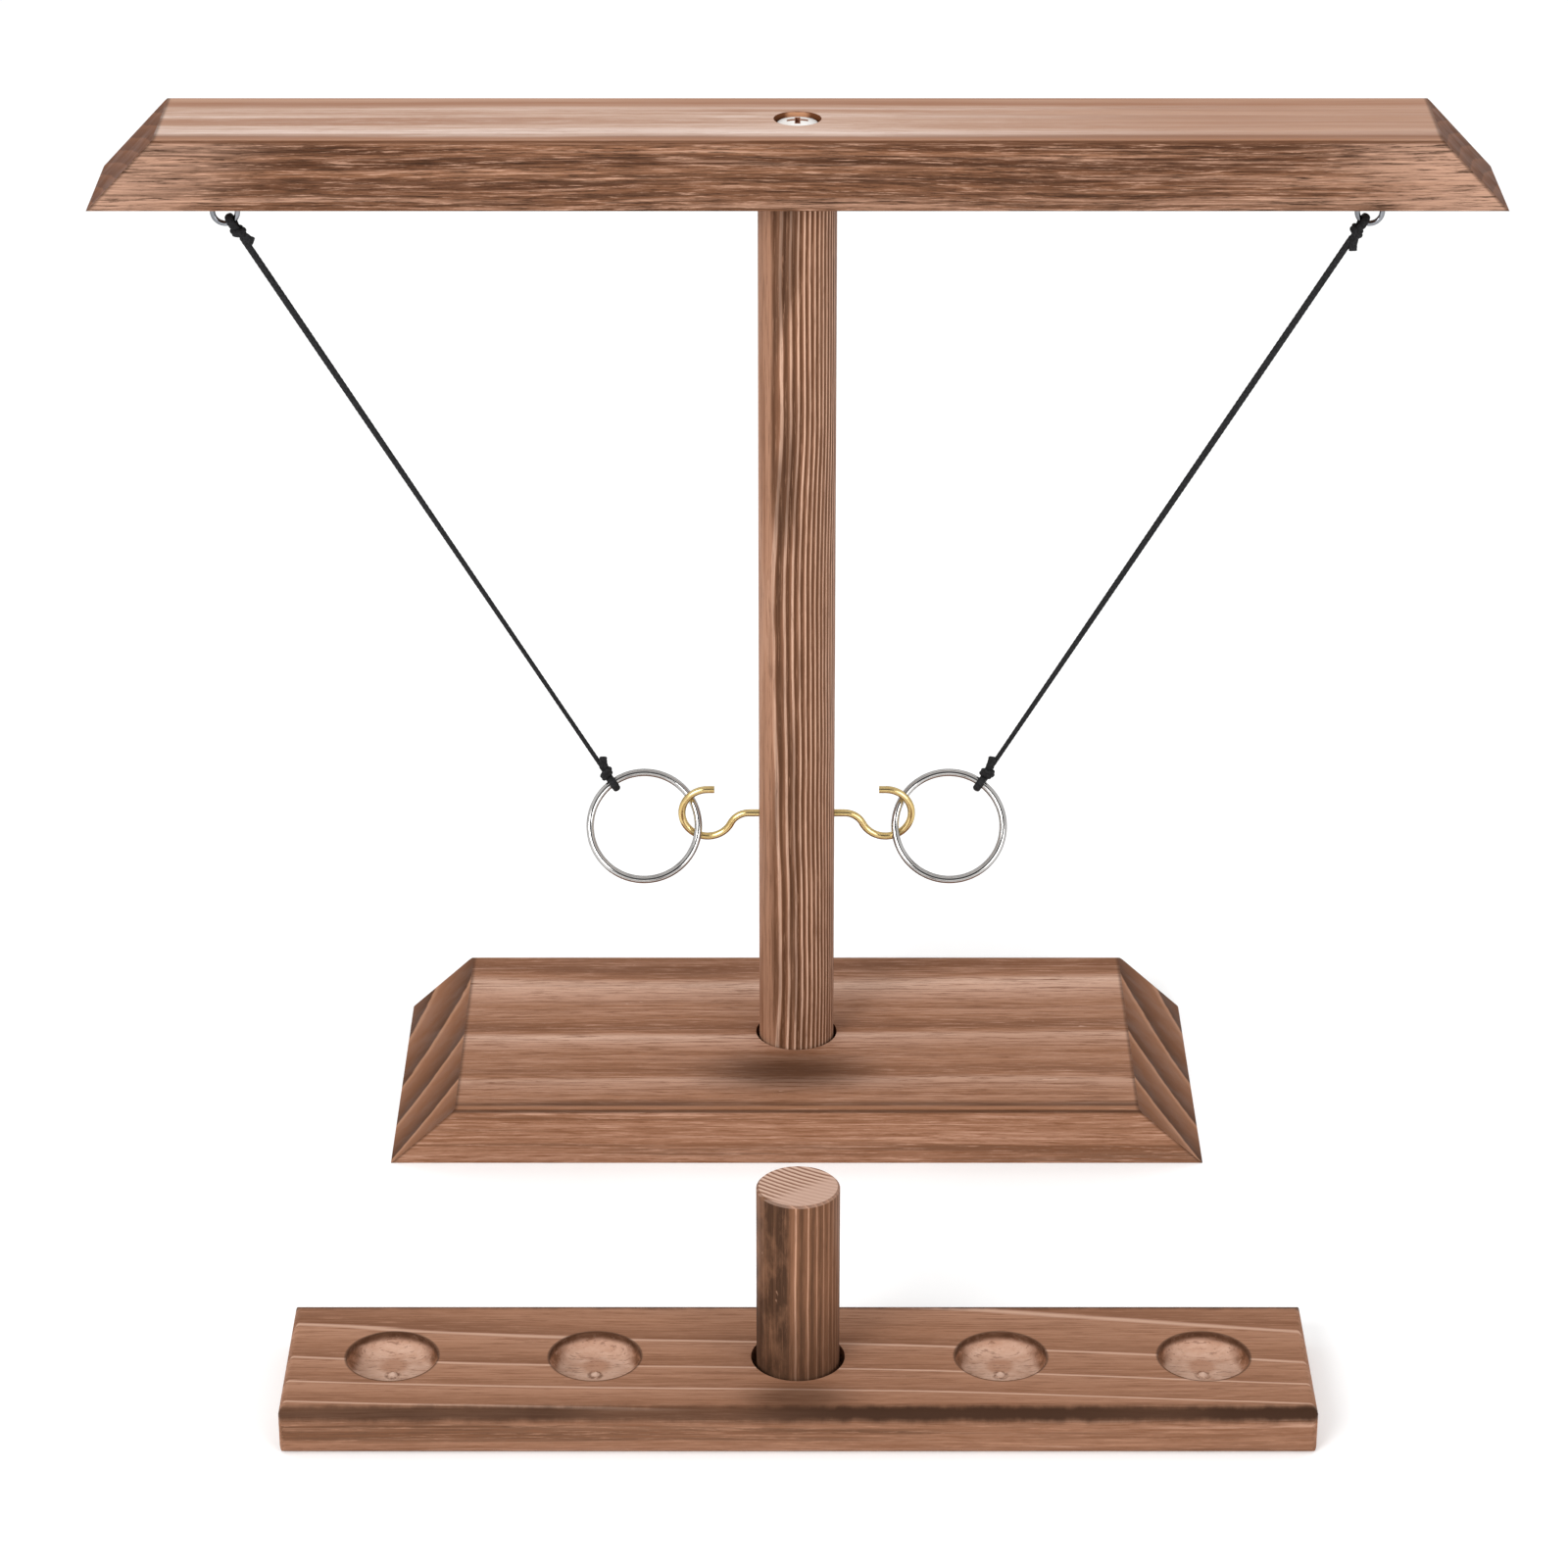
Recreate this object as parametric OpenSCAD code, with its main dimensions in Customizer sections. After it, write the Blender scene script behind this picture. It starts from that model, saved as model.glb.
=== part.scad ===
// Tabletop hook and ring toss game: a T-shaped wooden stand with a ring on a cord at each end of its beam,
// a brass hook for each ring on the post, and a loose score board with its peg in front.

/* [Base and beam] */
// Length of the base along its underside
base_l = 236; // [180:1:320]
// Width of the base
base_w = 98; // [60:1:140]
// Thickness of the base
base_t = 17.5; // [16:0.5:30]
// Length of the cross beam along its underside
beam_l = 387; // [340:1:480]
// Width of the cross beam
beam_w = 40; // [30:1:60]
// Thickness of the cross beam
beam_t = 20; // [17:0.5:30]
// Length of the sloped ends along the boards
end_run = 19; // [4:0.5:30]
// Rounding of the long top edges
edge_r = 1.6; // [0.5:0.1:3]

/* [Post] */
// Diameter of the post
post_d = 22; // [18:0.5:28]
// Height of the beam's underside above the table
beam_z = 280; // [240:1:340]
// Depth of the post's socket in the base
socket_depth = 10; // [6:0.5:11]
// Gap around the post in the base's socket
socket_gap = 1; // [0.2:0.1:2]
// Depth of the post's seat in the beam
seat_depth = 5; // [2:0.5:8]
// Gap around the post in the beam's seat
seat_gap = 0.1; // [0.05:0.05:0.5]

/* [Screws] */
// Diameter of a screw over its thread
screw_d = 4; // [3:0.1:5]
// Length of a screw under its head
screw_l = 45; // [30:1:55]
// Diameter of a screw head
head_d = 11; // [9:0.1:13]
// Height of a screw head
head_h = 3; // [2.2:0.1:4]
// Depth of a screw head below the wood's surface
head_sink = 0.3; // [0:0.1:1.5]
// Gap around a screw head in its counterbore
head_gap = 1.1; // [0.2:0.1:2]
// Gap around a thread in its hole
thread_gap = 0.05; // [0.02:0.01:0.1]
// Distance between thread turns
thread_pitch = 1.5; // [1:0.1:2.5]

/* [Hooks] */
// Wire diameter of a hook
hook_wire = 2.1; // [1.6:0.1:2.8]
// Radius of a hook's bow along the wire's centre
hook_r = 7.5; // [6.5:0.1:9]
// Radius of a hook's neck along the wire's centre
neck_r = 6; // [2.5:0.1:8]
// Straight length of a hook between post and neck
shank_l = 2.9; // [2:0.1:8]
// Straight length of a hook's tip
tip_l = 2; // [0.5:0.1:3]
// Height of the hooks above the table
hook_z = 89.5; // [80:0.5:150]
// Length of a hook's thread in the post
hook_thread_l = 8; // [5:0.5:8.5]

/* [Eyes] */
// Wire diameter of an eye
eye_wire = 1.5; // [1.2:0.1:2.2]
// Outside diameter of an eye
eye_od = 8.4; // [8:0.1:12]
// Distance of an eye from the end of the beam's underside
eye_inset = 35.5; // [34:0.5:60]
// Distance from the beam's underside to the bottom of an eye
eye_drop = 10.8; // [10.5:0.1:16]
// Length of an eye's thread in the beam
eye_thread_l = 10; // [6:0.5:12]

/* [Rings] */
// Outside diameter of a ring
ring_od = 33.8; // [30:0.1:40]
// Wire diameter of a ring
ring_wire = 2.2; // [1.6:0.1:2.4]
// Lean of a ring towards the player at its bottom
ring_tilt = 34; // [30:1:38]
// How far a ring reaches into its hook's bow, between the wires' centres
ring_lap = 4.8; // [4.4:0.1:5.2]
// Distance of a ring's centre below the hook
ring_drop = 3.5; // [3:0.1:4]
// Distance of a ring's centre in front of the hook
ring_fore = 1.5; // [1:0.1:2]

/* [Cords] */
// Diameter of a cord
cord_d = 1.6; // [1.2:0.1:2]
// Gap between a cord's loop and the wire that it holds
loop_gap = 0.3; // [0.2:0.05:0.5]
// Outside diameter of a knot
knot_d = 4.4; // [3.6:0.1:5]
// Length of a cord's tail past its knot
tail_l = 4; // [2:0.5:8]

/* [Score board] */
// Length of the score board
score_l = 272; // [250:1:320]
// Width of the score board
score_w = 55; // [36:1:70]
// Thickness of the score board
score_t = 13; // [12:0.5:24]
// Distance between the base and the score board
score_gap = 99; // [20:1:150]
// Rounding of its long top edges
score_edge_r = 3.5; // [1:0.1:5]
// Rounding of its other edges
score_corner_r = 2; // [0.5:0.1:3]
// Diameter of a dish
dish_d = 24.5; // [20:0.5:32]
// Depth of a dish
dish_depth = 6; // [4:0.5:8]
// Rounding at the foot of a dish's wall
dish_cove = 3.5; // [1:0.1:3.8]
// Distance between the dishes
dish_pitch = 54; // [40:0.5:58]
// Diameter of the point at the middle of a dish
nub_d = 3; // [1:0.1:5]

/* [Peg] */
// Diameter of the peg
peg_d = 22; // [16:0.5:26]
// Length of the peg
peg_l = 60; // [40:0.5:80]
// Depth of the peg's hole
peg_hole_depth = 8; // [5:0.5:10]
// Gap around the peg in its hole
peg_gap = 1.5; // [0.3:0.1:2]
// Bevel at the ends of the peg
peg_bevel = 0.6; // [0.2:0.1:2]

/* [Hidden] */
$fn = 64;

// Cutting bodies reach past the faces that they cut by this much
over = 1;
// Depth of a thread as a share of its radius
thread_core = 0.78;

// The origin is below the middle of the whole set's box, so the stand is behind it and the score board in front
total_depth = base_w + score_gap + score_w;
stand_y = total_depth / 2 - base_w / 2;
score_y = score_w / 2 - total_depth / 2;

// Post and screws
socket_d = post_d + 2 * socket_gap;
socket_z = base_t - socket_depth;
seat_z = beam_z + seat_depth;
head_hole_d = head_d + 2 * head_gap;
head_hole_depth = head_sink + head_h;
screw_hole_d = screw_d + 2 * thread_gap;
beam_top = beam_z + beam_t;
beam_head_z = beam_top - head_hole_depth;

// Hook: a straight shank, a neck that turns down and a bow that turns back up over the mouth
wire_step = 0.02;
bow_x = post_d / 2 + shank_l + sqrt(hook_r * hook_r + 2 * hook_r * neck_r);
neck_x = post_d / 2 + shank_l;
neck_angle = asin(neck_r / (hook_r + neck_r));

// Eye
eye_r = (eye_od - eye_wire) / 2;
eye_z = beam_z - eye_drop + eye_od / 2;
eye_x = beam_l / 2 - eye_inset;
eye_at = [eye_x, stand_y, eye_z];

// Ring: it hangs in the hook's bow, with its plane spanned by X and ring_up
ring_r = (ring_od - ring_wire) / 2;
ring_x = bow_x + hook_r + ring_r - ring_lap;
ring_at = [ring_x, stand_y - ring_fore, hook_z - ring_drop];
ring_up = [0, sin(ring_tilt), cos(ring_tilt)];

// Cord: taut from the wire of the eye to the wire of the ring, where the ring lies nearest to the eye
knot_angle = atan2((eye_at - ring_at) * ring_up, eye_at[0] - ring_at[0]);
ring_hold = ring_at + ring_r * (cos(knot_angle) * [1, 0, 0] + sin(knot_angle) * ring_up);
eye_turn = atan2(ring_hold[0] - eye_at[0], ring_hold[2] - eye_at[2]);
eye_hold = eye_at + eye_r * [sin(eye_turn), 0, cos(eye_turn)];
cord_way = ring_hold - eye_hold;
cord_reach = norm(cord_way);
cord_dir = cord_way / cord_reach;
eye_loop_r = eye_wire / 2 + loop_gap + cord_d / 2;
ring_loop_r = ring_wire / 2 + loop_gap + cord_d / 2;
knot_turns = 2;
knot_l = knot_turns * cord_d + loop_gap;
cord_start = eye_hold + cord_dir * (eye_loop_r + knot_l);
cord_end = ring_hold - cord_dir * (ring_loop_r + knot_l);
cord_sides = 8;
cord_rings = 38;
tail_angle = 65;

// Score board
peg_hole_d = peg_d + 2 * peg_gap;
peg_z = score_t - peg_hole_depth;
nub_h = 0.8;
dish_places = [-2, -1, 1, 2];

// Colours
wood = [0.62, 0.43, 0.33];
dark_wood = [0.52, 0.35, 0.26];
brass = [0.80, 0.62, 0.26];
steel = [0.78, 0.79, 0.80];
black = [0.08, 0.08, 0.09];

// Bar along X on the plane z = 0, with its four long edges rounded
module rounded_bar(l, w, h, r_top, r_foot) {
  translate([-l / 2, -w / 2, r_foot]) cube([l, w, h - r_top - r_foot]);
  translate([-l / 2, r_top - w / 2, r_foot]) cube([l, w - 2 * r_top, h - r_foot]);
  translate([-l / 2, r_foot - w / 2, 0]) cube([l, w - 2 * r_foot, h - r_top]);
  for (side = [-1, 1]) {
    translate([-l / 2, side * (w / 2 - r_top), h - r_top]) rotate([0, 90, 0]) cylinder(r = r_top, h = l);
    translate([-l / 2, side * (w / 2 - r_foot), r_foot]) rotate([0, 90, 0]) cylinder(r = r_foot, h = l);
  }
}

// Block with rounded upright edges, which reaches past the planes z = 0 and z = h
module rounded_plan(l, w, h, r) {
  tall = h + 2 * over;
  translate([-l / 2, r - w / 2, -over]) cube([l, w - 2 * r, tall]);
  translate([r - l / 2, -w / 2, -over]) cube([l - 2 * r, w, tall]);
  for (x = [-1, 1], y = [-1, 1])
    translate([x * (l / 2 - r), y * (w / 2 - r), -over]) cylinder(r = r, h = tall);
}

// Board whose ends slope in from a long underside to a shorter top
module cut_board(l, w, h) {
  foot_r = edge_r / 4;
  intersection() {
    rounded_bar(l, w, h, edge_r, foot_r);
    rotate([90, 0, 0]) linear_extrude(w + 2 * over, center = true)
      polygon([[-l / 2, 0], [l / 2, 0], [l / 2 - end_run, h], [end_run - l / 2, h]]);
  }
}

// Threaded stem along +Z from z = 0, with a point at its end
module thread(d, l) {
  crest = d / 2;
  core = crest * thread_core;
  turns = floor((l - d) / thread_pitch);
  rotate_extrude() polygon(concat(
    [[0, 0], [core, 0]],
    [for (i = [0 : turns - 1], half = [0.5, 1]) [half == 1 ? core : crest, (i + half) * thread_pitch]],
    [[core, l - d], [0, l]]
  ));
}

// Screw with its head's underside at z = 0 and its stem along -Z
module wood_screw() {
  recess_l = head_d * 0.5;
  recess_w = head_d * 0.11;
  recess_depth = head_h * 0.5;
  rim_h = head_h * 0.7;
  dome_r = (pow(head_d / 2, 2) + pow(head_h - rim_h, 2)) / (2 * (head_h - rim_h));
  mirror([0, 0, 1]) thread(screw_d, screw_l);
  difference() {
    intersection() {
      cylinder(d = head_d, h = head_h);
      translate([0, 0, head_h - dome_r]) sphere(r = dome_r);
    }
    for (turn = [0, 90])
      rotate([0, 0, turn]) translate([-recess_l / 2, -recess_w / 2, head_h - recess_depth])
        cube([recess_l, recess_w, head_h]);
  }
}

// Round wire bent to an arc in the XZ plane
module wire_arc(d, r, from, sweep) {
  rotate([90, 0, 0]) rotate([0, 0, from]) rotate_extrude(angle = sweep) translate([r, 0]) circle(d = d);
}

// The right side's hook, in the stand's own place: the bends and the tip start inside the straights' ends
module hook() {
  bend_wire = hook_wire - 2 * wire_step;
  lap_angle = 2;
  color(brass) translate([0, stand_y, hook_z]) {
    translate([post_d / 2, 0, 0]) rotate([0, -90, 0]) thread(hook_wire, hook_thread_l);
    translate([post_d / 2, 0, 0]) rotate([0, 90, 0]) cylinder(d = hook_wire, h = shank_l);
    translate([neck_x, 0, -neck_r])
      wire_arc(bend_wire, neck_r, neck_angle - lap_angle, 90 - neck_angle + 2 * lap_angle);
    translate([bow_x, 0, 0]) wire_arc(hook_wire, hook_r, 180 + neck_angle, 270 - neck_angle);
    translate([bow_x + tip_l / 10, 0, hook_r]) rotate([0, -90, 0]) cylinder(d = bend_wire, h = tip_l * 1.1);
  }
}

// The right side's screw eye
module eye() {
  color(steel) translate(eye_at) {
    rotate([90, 0, 0]) rotate_extrude() translate([eye_r, 0]) circle(d = eye_wire);
    translate([0, 0, eye_r]) cylinder(d = eye_wire, h = beam_z - eye_z - eye_r);
    translate([0, 0, beam_z - eye_z]) thread(eye_wire, eye_thread_l);
  }
}

// Places children at a point on the cord's line, with +Z towards the ring
module along_cord(at) {
  translate(at) rotate([0, acos(cord_dir[2]), atan2(cord_dir[1], cord_dir[0])]) children();
}

// Two turns of cord round the cord's line, and the cut tail that leaves them
module knot(tail_turn) {
  turn_r = (knot_d - cord_d) / 2;
  rotate_extrude() {
    square([turn_r, knot_l]);
    for (i = [0 : knot_turns - 1])
      translate([turn_r, knot_l / knot_turns * (i + 0.5)]) circle(d = cord_d);
  }
  translate([0, 0, knot_l / 2]) rotate([0, 0, tail_turn]) rotate([0, tail_angle, 0])
    cylinder(d = cord_d, h = knot_d / 2 + tail_l);
}

// The right side's loop and knot at the eye
module eye_knot() {
  color(black) {
    translate(eye_hold) rotate([0, eye_turn, 0]) rotate([0, 90, 0])
      rotate_extrude() translate([eye_loop_r, 0]) circle(d = cord_d);
    along_cord(eye_hold + cord_dir * eye_loop_r) knot(0);
  }
}

// The right side's loop and knot at the ring
module ring_knot() {
  color(black) {
    translate(ring_at) rotate([90 - ring_tilt, 0, 0]) rotate([0, 0, knot_angle]) translate([ring_r, 0, 0])
      rotate([90, 0, 0]) rotate_extrude() translate([ring_loop_r, 0]) circle(d = cord_d);
    along_cord(cord_end) mirror([0, 0, 1]) translate([0, 0, -knot_l]) knot(180);
  }
}

// Point on the cord's surface: its station along the cord, and its place around it
function cord_point(i, j) =
  let (across = cross(cord_dir, [0, 1, 0]) / norm(cross(cord_dir, [0, 1, 0])))
  let (other = cross(cord_dir, across))
  let (angle = 360 * j / cord_sides)
  cord_start + (cord_end - cord_start) * i / (cord_rings - 1)
    + cord_d / 2 * (cos(angle) * across + sin(angle) * other);

// The right side's cord between its knots
module cord() {
  last = (cord_rings - 1) * cord_sides;
  points = [for (i = [0 : cord_rings - 1], j = [0 : cord_sides - 1]) cord_point(i, j)];
  walls = [
    for (i = [0 : cord_rings - 2], j = [0 : cord_sides - 1])
      let (a = i * cord_sides + j)
      let (b = i * cord_sides + (j + 1) % cord_sides)
      each [[a, b, b + cord_sides], [a, b + cord_sides, a + cord_sides]]
  ];
  ends = [
    for (j = [1 : cord_sides - 2])
      each [[0, j + 1, j], [last, last + j, last + j + 1]]
  ];
  color(black) polyhedron(points, concat(walls, ends));
}

// The right side's ring
module ring() {
  color(steel) translate(ring_at) rotate([90 - ring_tilt, 0, 0])
    rotate_extrude() translate([ring_r, 0]) circle(d = ring_wire);
}

module base_board() {
  color(wood) translate([0, stand_y, 0]) difference() {
    cut_board(base_l, base_w, base_t);
    translate([0, 0, socket_z]) cylinder(d = socket_d, h = socket_depth + over);
    translate([0, 0, -over]) cylinder(d = screw_hole_d, h = base_t);
    translate([0, 0, -over]) cylinder(d = head_hole_d, h = head_hole_depth + over);
  }
}

module post() {
  base_screw_reach = head_hole_depth + screw_l - socket_z + over;
  beam_screw_reach = screw_l - (beam_head_z - seat_z) + over;
  color(dark_wood) translate([0, stand_y, 0]) difference() {
    translate([0, 0, socket_z]) cylinder(d = post_d, h = seat_z - socket_z);
    translate([0, 0, socket_z - over]) cylinder(d = screw_hole_d, h = base_screw_reach + over);
    translate([0, 0, seat_z - beam_screw_reach]) cylinder(d = screw_hole_d, h = beam_screw_reach + over);
    for (side = [-1, 1])
      translate([side * (post_d / 2 + over), 0, hook_z]) rotate([0, -side * 90, 0])
        cylinder(d = hook_wire + 2 * thread_gap, h = hook_thread_l + 1.5 * over);
  }
}

module cross_beam() {
  color(wood) translate([0, stand_y, beam_z]) difference() {
    cut_board(beam_l, beam_w, beam_t);
    translate([0, 0, -over]) cylinder(d = post_d + 2 * seat_gap, h = seat_depth + over);
    cylinder(d = screw_hole_d, h = beam_t + over);
    translate([0, 0, beam_t - head_hole_depth]) cylinder(d = head_hole_d, h = head_hole_depth + over);
    for (side = [-1, 1])
      translate([side * eye_x, 0, -over]) cylinder(d = eye_wire + 2 * thread_gap, h = eye_thread_l + 1.5 * over);
  }
}

module beam_screw() {
  color(steel) translate([0, stand_y, beam_head_z]) wood_screw();
}

module base_screw() {
  color(steel) translate([0, stand_y, head_hole_depth]) mirror([0, 0, 1]) wood_screw();
}

// Round dish with a coved foot and the small point that its cutter leaves
module dish() {
  dish_r = dish_d / 2;
  difference() {
    rotate_extrude() {
      square([dish_r - dish_cove, dish_depth + over]);
      translate([0, dish_cove]) square([dish_r, dish_depth + over - dish_cove]);
      translate([dish_r - dish_cove, dish_cove]) circle(r = dish_cove);
    }
    cylinder(d1 = nub_d, d2 = nub_d / 4, h = nub_h);
  }
}

module score_board() {
  color(wood) translate([0, score_y, 0]) difference() {
    intersection() {
      rounded_bar(score_l, score_w, score_t, score_edge_r, score_corner_r);
      rotate([0, 0, 90]) rounded_bar(score_w + 2 * over, score_l, score_t, score_corner_r, score_corner_r);
      rounded_plan(score_l, score_w, score_t, score_corner_r);
    }
    for (place = dish_places)
      translate([place * dish_pitch, 0, score_t - dish_depth]) dish();
    translate([0, 0, peg_z]) cylinder(d = peg_hole_d, h = peg_hole_depth + over);
  }
}

module score_peg() {
  r = peg_d / 2;
  color(dark_wood) translate([0, score_y, peg_z]) rotate_extrude() polygon([
    [0, 0], [r - peg_bevel, 0], [r, peg_bevel],
    [r, peg_l - peg_bevel], [r - peg_bevel, peg_l], [0, peg_l]
  ]);
}

base_board();
post();
cross_beam();
beam_screw();
base_screw();
mirror([1, 0, 0]) hook();  // left_hook
hook();  // right_hook
mirror([1, 0, 0]) eye();  // left_eye
eye();  // right_eye
mirror([1, 0, 0]) cord();  // left_cord
cord();  // right_cord
mirror([1, 0, 0]) eye_knot();  // left_eye_knot
eye_knot();  // right_eye_knot
mirror([1, 0, 0]) ring_knot();  // left_ring_knot
ring_knot();  // right_ring_knot
mirror([1, 0, 0]) ring();  // left_ring
ring();  // right_ring
score_board();
score_peg();
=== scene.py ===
"""Looks of a tabletop ring toss set.

Makes the braided cords with their knots, the finishes of the wood and the metal, the camera and the light.
Lengths are in metres and places are in the frame of the solids, unless a comment says otherwise.
"""

import math

import bpy
from mathutils import Matrix, Vector


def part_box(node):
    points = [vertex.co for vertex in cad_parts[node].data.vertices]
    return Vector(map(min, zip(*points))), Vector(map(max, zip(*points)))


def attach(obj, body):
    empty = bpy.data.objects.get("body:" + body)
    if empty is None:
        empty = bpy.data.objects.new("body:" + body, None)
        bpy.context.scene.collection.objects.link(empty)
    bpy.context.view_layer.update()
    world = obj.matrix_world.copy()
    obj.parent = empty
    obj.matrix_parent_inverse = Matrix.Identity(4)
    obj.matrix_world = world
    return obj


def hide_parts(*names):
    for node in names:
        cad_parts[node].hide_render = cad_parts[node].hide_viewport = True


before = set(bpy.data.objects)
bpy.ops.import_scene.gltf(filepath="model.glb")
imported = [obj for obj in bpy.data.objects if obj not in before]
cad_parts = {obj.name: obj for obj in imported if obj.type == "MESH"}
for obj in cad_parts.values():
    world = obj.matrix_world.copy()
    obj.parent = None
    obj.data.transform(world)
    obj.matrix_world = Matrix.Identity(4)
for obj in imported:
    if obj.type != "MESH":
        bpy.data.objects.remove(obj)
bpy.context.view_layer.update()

MM = 0.001

# Ways in the frame, as seen from the camera
RIGHT = Vector((1, 0, 0))
BACK = Vector((0, 1, 0))

# Camera, fitted to the photograph, which is PHOTO_PX square
PHOTO_PX = 1600
FOCAL_PX = 4988
SENSOR_MM = 36
CAMERA_AT = Vector((-3.7, -1211.5, 703.4)) * MM
CAMERA_PITCH = math.radians(25.137)

# Route of the right cord, as in the part's source; the left one is its mirror image
EYE_AT = Vector((158, 77, 273.4)) * MM
EYE_R = 3.45 * MM
EYE_WIRE = 1.5 * MM
RING_AT = Vector((44.493, 75.5, 86)) * MM
RING_R = 15.8 * MM
RING_WIRE = 2.2 * MM
RING_TILT = math.radians(34)
CORD_D = 1.6 * MM
LOOP_GAP = 0.3 * MM
KNOT_D = 4.4 * MM
KNOT_TURNS = 2
KNOT_L = KNOT_TURNS * CORD_D + LOOP_GAP

# Form of the braided cord: a soft flat lace that turns a quarter on its way down
CORD_FLAT = 0.2
CORD_TWIST = math.radians(90)
CORD_SIDES = 16
CORD_STEP = 0.4 * MM
CORD_PATH_POINTS = 24
BRAID_STRANDS = 4
BRAID_PITCH = 3.2 * MM
BRAID_RELIEF = 0.07

# The loop of a knot, and the degrees that it reaches to each side of the wire's far side
LOOP_THICK = 1.7 * MM
LOOP_FLAT = 0.22
LOOP_REACH = 140
LOOP_STEP = 28

# The turns of a knot: points on each turn, how much slimmer the knot is at its ends, the slant of a turn as
# a share of its radius, and where the turns start and how far they run, in cord diameters
TURN_POINTS = 10
TURN_SLIMMING = 0.28
TURN_SLANT = 0.35
TURNS_START = 0.3
TURNS_RUN = 1.15

# The flat cut tail of a knot, with its points as shares of its length and its bow in cord diameters, and
# the straight part of the cord in the knot, from and to these shares of the knot's length
TAIL_THICK = 1.65 * MM
TAIL_FLAT = 0.36
TAIL_SHARES = (0.2, 0.6, 1)
TAIL_BOW = 0.3
STRAIGHT_SHARES = (0.2, 1.15)

# Each side's cord: 1 on the right or -1 on the left, its name, and the ways from the middles of its knots
# at the eye and at the ring to the cut ends of their tails
LINES = (
    (1, "right", Vector((-0.6, -0.6, -5.2)) * MM, Vector((1.2, -1.6, 5.4)) * MM),
    (-1, "left", Vector((4, -0.8, -2.4)) * MM, Vector((-0.6, -1.6, 5.4)) * MM),
)

# Wood sizes that the finishes follow, as in the part's source
STAND_Y = EYE_AT.y
SCORE_Y = -98.5 * MM
END_RUN = 19 * MM
DISH_PITCH = 54 * MM
DISH_R = 12.25 * MM

# Cross recess of the screws: length and width of an arm, and how far the painted shade in it spreads
RECESS_L = 5.5 * MM
RECESS_W = 1.21 * MM
RECESS_SHADE_SPREAD = 0.4 * MM

# Smoked patches, in X and Y: in front of the post, and in front of the peg
BASE_SMOKE_AT = (-2 * MM, STAND_Y - 25 * MM)
SCORE_SMOKE_AT = (0, SCORE_Y - 20.5 * MM)

# The bore for the screw in the beam's top: radii between which its fresh wood fades out
BORE_EDGE = (9 * MM, 8.4 * MM)

# Zones of a dish by the distance from its middle: the torn ring round the nub, the nub's pale top, the
# steep part of the wall and the burnt rim
NUB_RING = (0.9 * MM, 1.4 * MM, 1.7 * MM, 2.6 * MM)
NUB_TOP = (1.4 * MM, 0.8 * MM)
DISH_STEEP = (DISH_R - 3 * MM, DISH_R - 0.8 * MM)
DISH_RIM = (DISH_R - 0.9 * MM, DISH_R - 0.3 * MM, DISH_R + 0.1 * MM, DISH_R + 0.7 * MM)

# Depths below a board's top at which the colour of a bore or a dish starts and is full
SUNK = (0.1 * MM, 0.4 * MM)

# Floor and lamps: half the floor's width, its colour, how much it glows where it is seen, the width of a
# lamp and the point that both are turned to, and for each lamp its name, place and watts
FLOOR_HALF = 6.0
FLOOR_WHITE = (0.92, 0.92, 0.92, 1)
FLOOR_LIFT = 0.15
LAMP_SIZE = 1.8
LAMP_TARGET = Vector((0, 0, 0.12))
LAMPS = (
    ("key", Vector((-1.6, -2.4, 1.7)), 66),
    ("fill", Vector((1.9, -2.4, 1.2)), 36),
)

# Studio: its strength, its share of light on the dark side, and the directions where that side ends, as
# parts of a unit vector in Y and Z
WORLD_STRENGTH = 0.9
DARK_SHARE = 0.05
DARK_BEHIND = (-0.75, -0.35)
DARK_ABOVE = (0.3, 0.12)


def srgb(red, green, blue):
    """A colour written in screen values from 0 to 255, as the linear colour that a shader takes."""
    shares = [value / 255 for value in (red, green, blue)]
    return (*[s / 12.92 if s <= 0.04045 else ((s + 0.055) / 1.055) ** 2.4 for s in shares], 1)


# Camera


def make_camera():
    """The photograph's camera, which looks to the back and down."""
    lens = bpy.data.cameras.new("camera")
    lens.sensor_width = SENSOR_MM
    lens.lens = FOCAL_PX / PHOTO_PX * SENSOR_MM
    camera = bpy.data.objects.new("camera", lens)
    camera.location = CAMERA_AT
    camera.rotation_euler = (math.radians(90) - CAMERA_PITCH, 0, 0)
    bpy.context.scene.collection.objects.link(camera)
    bpy.context.scene.camera = camera


# Cords and knots


class CordLine:
    """Points and directions of one side's cord; side is 1 on the right and -1 on the left."""

    def __init__(self, side):
        ring_up = Vector((0, math.sin(RING_TILT), math.cos(RING_TILT)))
        to_eye = EYE_AT - RING_AT
        knot_angle = math.atan2(to_eye.dot(ring_up), to_eye.x)
        ring_out = math.cos(knot_angle) * RIGHT + math.sin(knot_angle) * ring_up
        ring_hold = RING_AT + RING_R * ring_out
        eye_out = (Vector((ring_hold.x, 0, ring_hold.z)) - Vector((EYE_AT.x, 0, EYE_AT.z))).normalized()
        eye_hold = EYE_AT + EYE_R * eye_out
        mirror = Matrix.Diagonal((side, 1, 1))
        self.eye_hold = mirror @ eye_hold
        self.eye_out = mirror @ eye_out
        self.ring_hold = mirror @ ring_hold
        self.ring_out = mirror @ ring_out
        self.ring_normal = Vector((0, -math.cos(RING_TILT), math.sin(RING_TILT)))
        self.way = (self.ring_hold - self.eye_hold).normalized()
        self.eye_loop_r = EYE_WIRE / 2 + LOOP_GAP + CORD_D / 2
        self.ring_loop_r = RING_WIRE / 2 + LOOP_GAP + CORD_D / 2
        self.start = self.eye_hold + self.way * (self.eye_loop_r + KNOT_L)
        self.end = self.ring_hold - self.way * (self.ring_loop_r + KNOT_L)


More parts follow.
